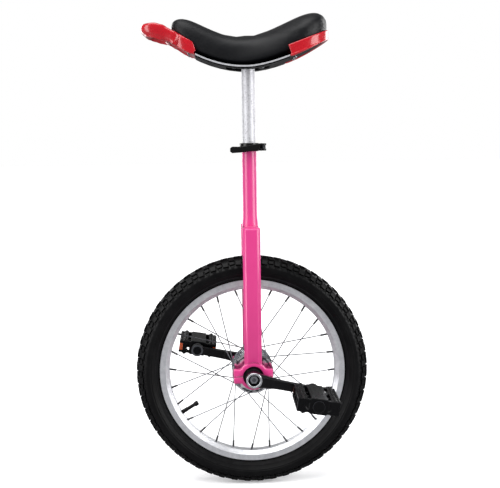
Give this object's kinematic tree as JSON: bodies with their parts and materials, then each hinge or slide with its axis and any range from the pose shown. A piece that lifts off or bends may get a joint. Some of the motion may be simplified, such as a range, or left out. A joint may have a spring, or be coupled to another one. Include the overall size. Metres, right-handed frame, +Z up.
{
  "type": "unicycle",
  "caption": "Unicycle with a knobbly-tyred spoked wheel, split-bearing fork, cranks, resin pedals and a handled saddle on a quick-release post.",
  "frame": {"origin": "the tyre's contact point on the ground, straight under the axle and midway between the pedals", "axes": "+Z up, -X forward towards the saddle's handle, +Y to the rider's right, along the wheel's axle"},
  "size_m": [0.462, 0.374, 0.928],
  "materials": {
    "tyre_rubber": "matte moulded rubber",
    "butyl_rubber": "matte",
    "rim_tape": "matte",
    "rim_alloy": "satin extruded alloy",
    "spoke_steel": "bright drawn wire",
    "nipple_brass": "nickel-plated",
    "hub_alloy": "satin machined alloy",
    "axle_steel": "ground steel",
    "race_steel": "polished steel",
    "black_race": "black oxide steel",
    "seal_rubber": "matte",
    "ball_steel": "mirror polished",
    "cage_brass": "pressed brass",
    "frame_paint": "gloss pink paint",
    "screw_steel": "zinc plated",
    "crank_black": "semi-gloss black paint",
    "pedal_resin": "moulded resin",
    "bush_nylon": "moulded nylon",
    "reflector_amber": "clear amber lens",
    "clamp_black": "black anodised",
    "post_steel": "zinc-flaked steel",
    "base_plastic": "moulded plastic",
    "foam": "polyurethane foam",
    "vinyl_cover": "grained vinyl",
    "piping": "grey edge piping",
    "bumper_red": "moulded red plastic"
  },
  "bodies": {
    "frame": {"seat_tube": "frame_paint", "fork_crown": "frame_paint", "left_fork_leg": "frame_paint", "right_fork_leg": "frame_paint", "left_bearing_housing": "frame_paint", "right_bearing_housing": "frame_paint", "left_bearing_cap": "frame_paint", "right_bearing_cap": "frame_paint", "bearing_cap_screws": "screw_steel", "bearing_outer_races": "black_race", "bearing_seals": "seal_rubber"},
    "wheel": {"tyre": "tyre_rubber", "inner_tube": "butyl_rubber", "rim_tape": "rim_tape", "rim": "rim_alloy", "left_spokes": "spoke_steel", "right_spokes": "spoke_steel", "spoke_nipples": "nipple_brass", "valve_stem": "butyl_rubber", "valve_cap": "base_plastic", "hub_shell": "hub_alloy", "axle": "axle_steel", "bearing_inner_races": "race_steel", "axle_spacers": "axle_steel", "left_crank": "crank_black", "right_crank": "crank_black", "crank_nuts": "screw_steel", "crank_washers": "screw_steel", "left_pedal_spindle": "axle_steel", "right_pedal_spindle": "axle_steel", "pedal_locknuts": "screw_steel"},
    "left_ball_set": {"left_bearing_balls": "ball_steel", "left_ball_cage": "cage_brass"},
    "right_ball_set": {"right_bearing_balls": "ball_steel", "right_ball_cage": "cage_brass"},
    "left_pedal": {"left_pedal_body": "pedal_resin", "left_pedal_bushes": "bush_nylon", "left_pedal_reflectors": "reflector_amber", "left_pedal_cap": "pedal_resin"},
    "right_pedal": {"right_pedal_body": "pedal_resin", "right_pedal_bushes": "bush_nylon", "right_pedal_reflectors": "reflector_amber", "right_pedal_cap": "pedal_resin"},
    "clamp": {"seat_clamp": "clamp_black", "clamp_skewer": "axle_steel", "cam_pin": "axle_steel", "cam_washer": "base_plastic"},
    "lever": {"clamp_lever": "clamp_black"},
    "lever_nut": {"clamp_nut": "clamp_black"},
    "saddle": {"seat_post": "post_steel", "post_bracket": "screw_steel", "saddle_bolts": "screw_steel", "saddle_base": "base_plastic", "saddle_foam": "foam", "saddle_cover": "vinyl_cover", "saddle_piping": "piping", "front_handle": "bumper_red", "rear_bumper": "bumper_red", "bumper_screws": "screw_steel"}
  },
  "joints": [
    {"name": "wheel_spin", "type": "hinge", "parent": "frame", "child": "wheel", "pos_m": [0, 0, 0.231], "axis": [0, 1, 0], "continuous": true},
    {"name": "left_balls_roll", "type": "hinge", "parent": "frame", "child": "left_ball_set", "pos_m": [0, -0.05, 0.231], "axis": [0, 1, 0], "continuous": true},
    {"name": "right_balls_roll", "type": "hinge", "parent": "frame", "child": "right_ball_set", "pos_m": [0, 0.05, 0.231], "axis": [0, 1, 0], "continuous": true},
    {"name": "left_pedal_spin", "type": "hinge", "parent": "wheel", "child": "left_pedal", "pos_m": [0.11175, -0.0885, 0.20847], "axis": [0, 1, 0], "continuous": true},
    {"name": "right_pedal_spin", "type": "hinge", "parent": "wheel", "child": "right_pedal", "pos_m": [-0.11175, 0.0885, 0.25353], "axis": [0, 1, 0], "continuous": true},
    {"name": "seat_swivel", "type": "hinge", "parent": "frame", "child": "clamp", "pos_m": [0, 0, 0.67375], "axis": [0, 0, 1], "continuous": true},
    {"name": "seat_height", "type": "slide", "parent": "clamp", "child": "saddle", "axis": [0, 0, 1], "range_m": [-0.085, 0.03]},
    {"name": "lever_swing", "type": "hinge", "parent": "clamp", "child": "lever", "pos_m": [0.0244, -0.0203, 0.67375], "axis": [0, 0, 1], "range_deg": [0, 165]},
    {"name": "nut_turn", "type": "hinge", "parent": "clamp", "child": "lever_nut", "pos_m": [0.0244, 0.015, 0.67375], "axis": [0, 1, 0], "continuous": true}
  ],
  "couplings": [
    {"joint": "left_balls_roll", "follows": "wheel_spin", "ratio": 0.39},
    {"joint": "right_balls_roll", "follows": "wheel_spin", "ratio": 0.39}
  ]
}
